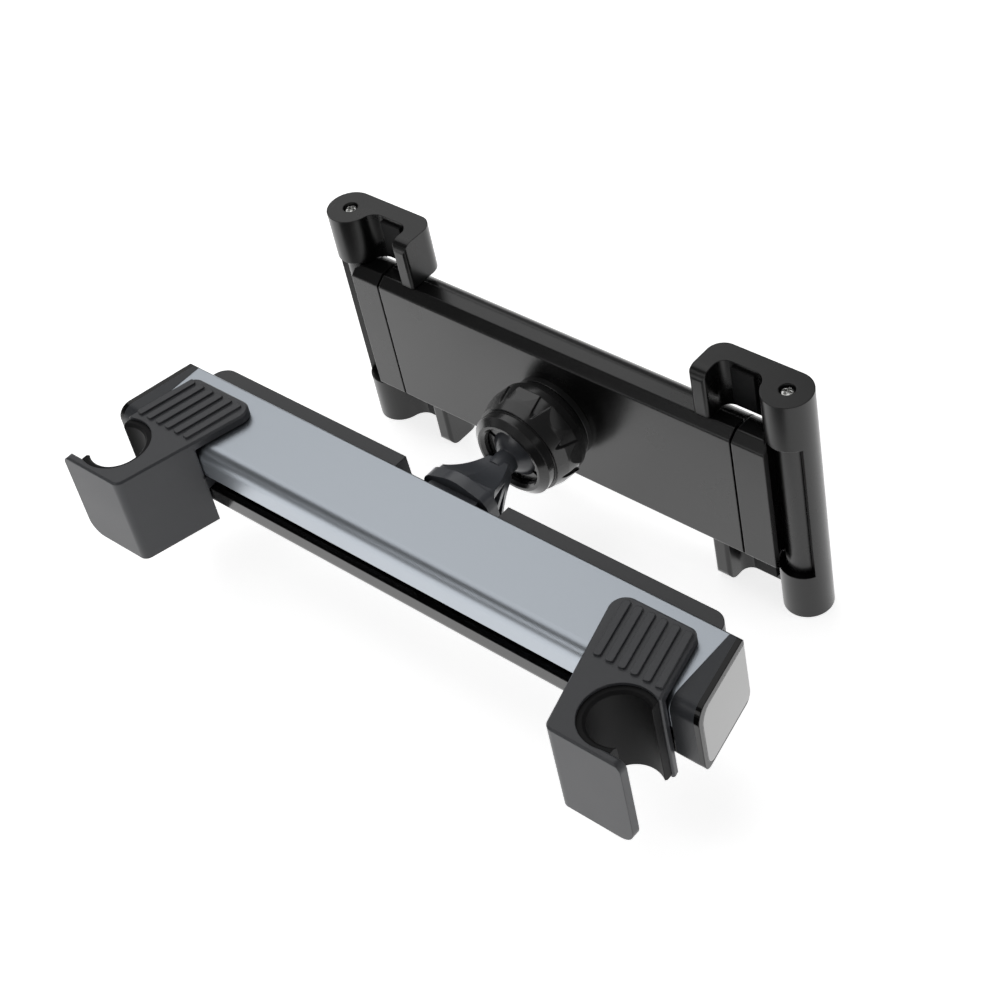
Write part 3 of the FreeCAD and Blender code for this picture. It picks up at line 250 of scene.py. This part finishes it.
cap_low, cap_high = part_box("end_cap_right")
corners = [vertex.co for vertex in nodes["end_cap_right"].data.vertices]
rear_end = max(corner.x for corner in corners if corner.y > cap_high.y - WALL_TOLERANCE)
slant = Vector((cap_high.y - cap_low.y, cap_high.x - rear_end, 0.0)).normalized()
face_reach = slant.dot(Vector((cap_high.x, cap_low.y, 0.0)))
polished_rim(cap_grey, slant, face_reach - RIM_WIDTH, (0.005, 0.005, 0.005), 0.12)
ribbed(grip_rubber, pitch=1.6, depth=0.25)
print("cap slant", [round(part, 3) for part in slant])

# %% [markdown]
# Each node of the model takes its finish. The pairs are listed by the finish, so
# that a reader sees at once which pieces share a moulding material.

# %% Finishes onto the model
def pair(name):
    return [name + "_left", name + "_right"]


wearing = [
    (anodised, ["aluminium_cover"]),
    (polished_black, ["lower_housing"]),
    (collar_black, ["collar_nut", "ball_socket"]),
    (grained_grey, ["rear_plate"]),
    (cap_grey, pair("end_cap")),
    (inlay_black, pair("end_panel")),
    (hook_black, pair("hook")),
    (rubber, pair("hook_liner") + pair("claw_pads") + ["ball_pad"]),
    (grip_rubber, pair("grip_pad")),
    (rack_black, pair("hook_slide")),
    (nylon, ["hook_pinion", "cradle_pinion", "ball_ring"]),
    (arm_black, ["arm"]),
    (cradle_black, ["back_cover", "front_plate"]),
    (slider_black, pair("slider")),
    (claw_black, pair("claw")),
    (steel, pair("guide_rod") + pair("hook_spring") + pair("cradle_spring") + pair("hook_screws")
     + pair("claw_screws") + ["hook_pinion_pin", "housing_screws", "arm_screws", "socket_screws",
                              "cover_screws", "cradle_pinion_pin"]),
]
for finish, names in wearing:
    for name in names:
        mesh = nodes[name].data
        mesh.materials.clear()
        mesh.materials.append(finish)
print("dressed nodes", sum(len(names) for _, names in wearing), "of", len(nodes))

# %% [markdown]
# The model's screws are plain pins with a round head. Where a head shows, a pan
# head with a cross recess takes its place. Its place could be typed in, but then it
# would be wrong as soon as the model changes. So it comes from the model: each
# loose solid of a screw node has a box, and the box gives the axis, the tip and
# the width of the head.

# %% Where the screws are
WELD = 0.001 * MM


def loose_boxes(name):
    """The lowest and highest corner of each separate solid in a node."""
    shape = bmesh.new()
    shape.from_mesh(nodes[name].data)
    bmesh.ops.remove_doubles(shape, verts=shape.verts, dist=WELD)
    unseen = set(shape.verts)
    boxes = []
    while unseen:
        group = [unseen.pop()]
        for vertex in group:
            for edge in vertex.link_edges:
                other = edge.other_vert(vertex)
                if other in unseen:
                    unseen.remove(other)
                    group.append(other)
        low = Vector([min(v.co[k] for v in group) for k in range(3)])
        high = Vector([max(v.co[k] for v in group) for k in range(3)])
        boxes.append((low, high))
    shape.free()
    return sorted(boxes, key=lambda box: tuple(box[0]))


print("screws in each claw", len(loose_boxes("claw_screws_right")))

# %% [markdown]
# A cross recess could be cut with a boolean, which leaves untidy faces. Here the
# head is made of rings, and the recess is a depth that each point of a ring looks
# up. A point is in the cross if it is near one of two axes and not too far out.
# The sides of the cross are soft, as those of a pressed recess are.

# %% Depth of the cross recess
CROSS_HALF_WIDTH = 0.2
CROSS_REACH = 0.62
CROSS_SOFTNESS = 0.08


def recess(x, y, radius):
    """How deep a cross is pressed at a point of the head, from 0 to 1."""
    soft = CROSS_SOFTNESS * radius
    narrow = (CROSS_HALF_WIDTH * radius - min(abs(x), abs(y))) / soft
    short = (CROSS_REACH * radius - max(abs(x), abs(y))) / soft
    return max(0.0, min(1.0, narrow)) * max(0.0, min(1.0, short))


print("recess at the middle and at the rim", recess(0, 0, 1), recess(1, 0, 1))

# %% [markdown]
# One screw is a pile of rings, from the middle of its domed head down to its tip,
# with faces between each ring and the next. All rings have the same number of
# corners, so the faces are clean quads.

# %% A screw of rings
SIDES = 48
HEAD_RINGS = 14
MIDDLE_RING = 0.02
DOME_DROP = 0.4
RECESS_DEPTH = 0.5
TIP_LENGTH = 0.3 * MM
TIP_WIDTH = 0.6


def bridge_rings(shape, rings):
    for near, far in zip(rings, rings[1:]):
        for k in range(len(near)):
            other = (k + 1) % len(near)
            shape.faces.new((near[k], near[other], far[other], far[k]))
    shape.faces.new(rings[0])
    shape.faces.new(list(reversed(rings[-1])))


def add_screw(shape, low, high, up, head_height, shank_radius):
    """One screw inside its box, with its head at the top if up is 1 and at the bottom if it is -1."""
    centre = (low + high) / 2
    radius = (high.x - low.x) / 2
    top, tip = (high.z, low.z) if up > 0 else (low.z, high.z)

    def ring(r, z, pressed=0.0):
        spots = []
        for k in range(SIDES):
            x = r * math.cos(2 * math.pi * k / SIDES)
            y = r * math.sin(2 * math.pi * k / SIDES)
            depth = pressed * recess(x, y, radius)
            spots.append(shape.verts.new((centre.x + x, centre.y + y, z - up * depth)))
        return spots

    rings = []
    for i in range(HEAD_RINGS + 1):
        share = max(i / HEAD_RINGS, MIDDLE_RING)
        drop = DOME_DROP * head_height * share ** 4
        rings.append(ring(radius * share, top - up * drop, RECESS_DEPTH * head_height))
    seat = top - up * head_height
    rings.append(ring(radius, seat))
    rings.append(ring(shank_radius, seat))
    rings.append(ring(shank_radius, tip + up * TIP_LENGTH))
    rings.append(ring(TIP_WIDTH * shank_radius, tip))
    bridge_rings(shape, rings)


print("rings in a screw", HEAD_RINGS + 5)

# %% [markdown]
# Every new piece ends in the same way. Its mesh is shaded smooth with its true
# edges kept sharp, it takes the steel finish, and the piece rides on a body of the
# model and stands for a node, which is hidden.

# %% From mesh to piece
SHARP_EDGE = math.radians(35)


def finish_piece(name, shape, body, replaced):
    """Turns a mesh under construction into a steel piece that stands for a node of the model."""
    bmesh.ops.recalc_face_normals(shape, faces=shape.faces)
    mesh = bpy.data.meshes.new(name)
    shape.to_mesh(mesh)
    shape.free()
    mesh.materials.append(steel)
    mesh.shade_smooth()
    mesh.set_sharp_from_angle(angle=SHARP_EDGE)
    piece = bpy.data.objects.new(name, mesh)
    bpy.context.scene.collection.objects.link(piece)
    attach(piece, body)
    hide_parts(replaced)
    print(name, "faces", len(mesh.polygons))
    return piece


print("edges stay sharp from", round(math.degrees(SHARP_EDGE)), "degrees")

# %% [markdown]
# Each claw turns on two screws, one from above and one from below, whose heads sit
# in its ends. The screws under the tray point up. A head is given by its height
# and a shank by its radius, which is what the hole in the moulding asks.

# %% Screws in place
CLAW_HEAD = 1.4 * MM
CLAW_SHANK = 1.5 * MM
HOUSING_HEAD = 1.2 * MM
HOUSING_SHANK = 1.2 * MM

for node, body, head, shank in (("claw_screws_left", "slider_unit_left", CLAW_HEAD, CLAW_SHANK),
                                ("claw_screws_right", "slider_unit_right", CLAW_HEAD, CLAW_SHANK),
                                ("housing_screws", "clamp", HOUSING_HEAD, HOUSING_SHANK)):
    shape = bmesh.new()
    for low, high in loose_boxes(node):
        up = 1 if node.startswith("claw") and low.z > 0 else -1
        add_screw(shape, low, high, up, head, shank)
    finish_piece("recessed_" + node, shape, body, node)

# %% [markdown]
# The hook springs show through the slot below the cover. The model winds them
# from square wire; here round wire takes their place, with a closed turn at each
# end, as springs that press on a flat seat have. A curve with a bevel would do it
# too, but rings along a helix give full control of the closed turns.

# %% A coil of round wire
WIRE = 0.8 * MM
WIRE_SIDES = 10
COIL_TURNS = 7
STEPS_PER_TURN = 24


def add_coil(shape, start_x, end_x, y, z, radius):
    """Round wire along X, with one closed turn before and after the open ones."""
    open_length = end_x - start_x - 3 * WIRE
    rings = []
    for i in range(STEPS_PER_TURN * (COIL_TURNS + 2) + 1):
        turn = i / STEPS_PER_TURN
        angle = 2 * math.pi * turn
        opened = min(max(turn - 1, 0), COIL_TURNS)
        closed = turn - opened
        x = start_x + WIRE / 2 + closed * WIRE + opened * open_length / COIL_TURNS
        out = Vector((0.0, math.cos(angle), math.sin(angle)))
        middle = Vector((x, y, z)) + out * radius
        spots = []
        for k in range(WIRE_SIDES):
            around = 2 * math.pi * k / WIRE_SIDES
            offset = Vector((math.sin(around), 0, 0)) + out * math.cos(around)
            spots.append(shape.verts.new(middle + offset * (WIRE / 2)))
        rings.append(spots)
    bridge_rings(shape, rings)


print("open turns", COIL_TURNS)

# %% [markdown]
# Each spring is wound in the box of the model's spring. It rides on the clamp
# and has a mesh of its own.

# %% Hook springs in place
for side in ("left", "right"):
    low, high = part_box("hook_spring_" + side)
    y = (low.y + high.y) / 2
    z = (low.z + high.z) / 2
    shape = bmesh.new()
    add_coil(shape, low.x, high.x, y, z, (high.y - low.y - WIRE) / 2)
    piece = finish_piece("round_wire_spring_" + side, shape, "clamp", "hook_spring_" + side)
    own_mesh(piece)

# %% [markdown]
# The mount lies on a pale sweep at the height of its lowest claw. A flat grid is
# enough for that, because its far edge is out of sight.

# %% Floor
FLOOR_GAP = 0.2 * MM
FLOOR_REACH = 3.0

floor_z = min(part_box(claw)[0].z for claw in pair("claw")) - FLOOR_GAP
floor_mesh = bpy.data.meshes.new("floor")
shape = bmesh.new()
bmesh.ops.create_grid(shape, x_segments=8, y_segments=8, size=FLOOR_REACH)
shape.to_mesh(floor_mesh)
shape.free()
floor = bpy.data.objects.new("floor", floor_mesh)
floor.location = (0.0, 0.0, floor_z)
bpy.context.scene.collection.objects.link(floor)
print("floor at", round(floor_z, 4))

# %% [markdown]
# White comes from what the camera sees directly, not from stronger lamps, so the
# black mouldings keep their depth. The floor glows for the camera and for glossy
# reflections only. Near the mount it glows less, which keeps the soft shadow, and
# further out it fades into white.

# %% Finish of the floor
GLOW_NEAR = 0.8
GLOW_FAR = 1.0
FADE_FROM = 0.4
FADE_TO = 1.5
GLOSSY_GLOW = 1.12

floor_white = bpy.data.materials.new("floor white")
floor_white.use_nodes = True
tree = floor_white.node_tree
base = tree.nodes["Principled BSDF"]
base.inputs["Base Color"].default_value = (0.9, 0.9, 0.9, 1.0)
base.inputs["Roughness"].default_value = 0.8
spot = add_node(tree, "ShaderNodeTexCoord")
distance = add_node(tree, "ShaderNodeVectorMath", operation="LENGTH")
fade = add_node(tree, "ShaderNodeMapRange")
for socket, value in (("From Min", FADE_FROM), ("From Max", FADE_TO),
                      ("To Min", GLOW_NEAR), ("To Max", GLOW_FAR)):
    fade.inputs[socket].default_value = value
rays = add_node(tree, "ShaderNodeLightPath")
direct = add_node(tree, "ShaderNodeMath", operation="MULTIPLY")
total = add_node(tree, "ShaderNodeMath", operation="MULTIPLY_ADD")
total.inputs[1].default_value = GLOSSY_GLOW
glow = add_node(tree, "ShaderNodeEmission")
added = add_node(tree, "ShaderNodeAddShader")
link(tree, spot.outputs["Object"], distance.inputs[0])
link(tree, distance.outputs["Value"], fade.inputs["Value"])
link(tree, rays.outputs["Is Camera Ray"], direct.inputs[0])
link(tree, fade.outputs["Result"], direct.inputs[1])
link(tree, rays.outputs["Is Glossy Ray"], total.inputs[0])
link(tree, direct.outputs["Value"], total.inputs[2])
link(tree, total.outputs["Value"], glow.inputs["Strength"])
link(tree, base.outputs["BSDF"], added.inputs[0])
link(tree, glow.outputs["Emission"], added.inputs[1])
link(tree, added.outputs["Shader"], tree.nodes["Material Output"].inputs["Surface"])
floor_mesh.materials.append(floor_white)
print("floor glow", GLOW_NEAR, "to", GLOW_FAR)

# %% [markdown]
# The room is a gradient: bright near the floor, dim above, so that rounded edges
# get a dark band between two light ones, as in a studio with white walls and a
# dark ceiling. The camera itself sees plain white in its place.

# %% World
WALL_HEIGHTS = (0.05, 0.25, 0.55)
WALL_GREYS = (0.6, 0.2, 0.1)

world = bpy.data.worlds.new("studio")
bpy.context.scene.world = world
world.use_nodes = True
tree = world.node_tree
studio = tree.nodes["Background"]
where = add_node(tree, "ShaderNodeTexCoord")
height = add_node(tree, "ShaderNodeSeparateXYZ")
walls = add_node(tree, "ShaderNodeValToRGB")
bands = walls.color_ramp.elements
bands[0].position, bands[1].position = WALL_HEIGHTS[0], WALL_HEIGHTS[2]
bands.new(WALL_HEIGHTS[1])
for band, grey in zip(bands, WALL_GREYS):
    band.color = (grey, grey, grey, 1.0)
white_sky = add_node(tree, "ShaderNodeBackground")
white_sky.inputs["Color"].default_value = (1.0, 1.0, 1.0, 1.0)
rays = add_node(tree, "ShaderNodeLightPath")
choose = add_node(tree, "ShaderNodeMixShader")
link(tree, where.outputs["Generated"], height.inputs["Vector"])
link(tree, height.outputs["Z"], walls.inputs["Fac"])
link(tree, walls.outputs["Color"], studio.inputs["Color"])
link(tree, rays.outputs["Is Camera Ray"], choose.inputs["Fac"])
link(tree, studio.outputs["Background"], choose.inputs[1])
link(tree, white_sky.outputs["Background"], choose.inputs[2])
link(tree, choose.outputs["Shader"], tree.nodes["World Output"].inputs["Surface"])
print("bands of the walls at", [round(band.position, 2) for band in bands])

# %% [markdown]
# The camera stands where the photographer stood: behind the seat, to the right
# and well above. It was found by fitting the long straight edges of bar and
# cradle. A long lens keeps those edges nearly parallel.

# %% Camera
PHOTO_WIDTH = 1000.0
FOCAL_PIXELS = 2211.35
SENSOR_WIDTH = 36.0

azimuth = math.radians(50.13)
elevation = math.radians(43.93)
roll = math.radians(-13.41)
camera_place = Vector((317.76, -212.91, 389.0)) * MM
backward = Vector((math.sin(azimuth) * math.cos(elevation),
                   -math.cos(azimuth) * math.cos(elevation), math.sin(elevation)))
level = Vector((math.cos(azimuth), math.sin(azimuth), 0.0))
upright = backward.cross(level)
right = level * math.cos(roll) + upright * math.sin(roll)
up = upright * math.cos(roll) - level * math.sin(roll)
turn = Matrix((right, up, backward)).transposed()
camera_data = bpy.data.cameras.new("camera")
camera_data.sensor_width = SENSOR_WIDTH
camera_data.lens = FOCAL_PIXELS * SENSOR_WIDTH / PHOTO_WIDTH
camera_data.clip_start = 10 * MM
camera = bpy.data.objects.new("camera", camera_data)
camera.matrix_world = Matrix.Translation(camera_place) @ turn.to_4x4()
bpy.context.scene.collection.objects.link(camera)
bpy.context.scene.camera = camera
print("lens", round(camera_data.lens, 2), "mm")

# %% [markdown]
# Black plastic shows its shape only by what it reflects. A large soft lamp high
# behind the bar models the cover, one in front draws the bright fronts of the
# hooks, and a weak one on the right gives the rounded edges there a highlight,
# as a product table does. Their power is low, so that no colour washes out.

# %% Lamps
def soft_lamp(name, place, aim, size, power):
    """A rectangular lamp; place, aim and size are in metres and power is in watts."""
    data = bpy.data.lights.new(name, "AREA")
    data.shape = "RECTANGLE"
    data.size, data.size_y = size
    data.energy = power
    lamp = bpy.data.objects.new(name, data)
    lamp.location = place
    lamp.rotation_euler = (Vector(aim) - Vector(place)).to_track_quat("-Z", "Y").to_euler()
    bpy.context.scene.collection.objects.link(lamp)


soft_lamp("rear softbox", (-0.52, 0.3, 1.04), (0, 0.03, 0), (1.0, 1.5), 5.7)
soft_lamp("front softbox", (-0.4, -1.0, 0.8), (0, 0, 0), (0.6, 0.5), 1.9)
soft_lamp("right softbox", (1.1, 0.5, 0.5), (0, 0, 0), (0.7, 0.7), 1.2)
bpy.context.scene.view_settings.view_transform = "Standard"
print("lamps", len(bpy.data.lights))
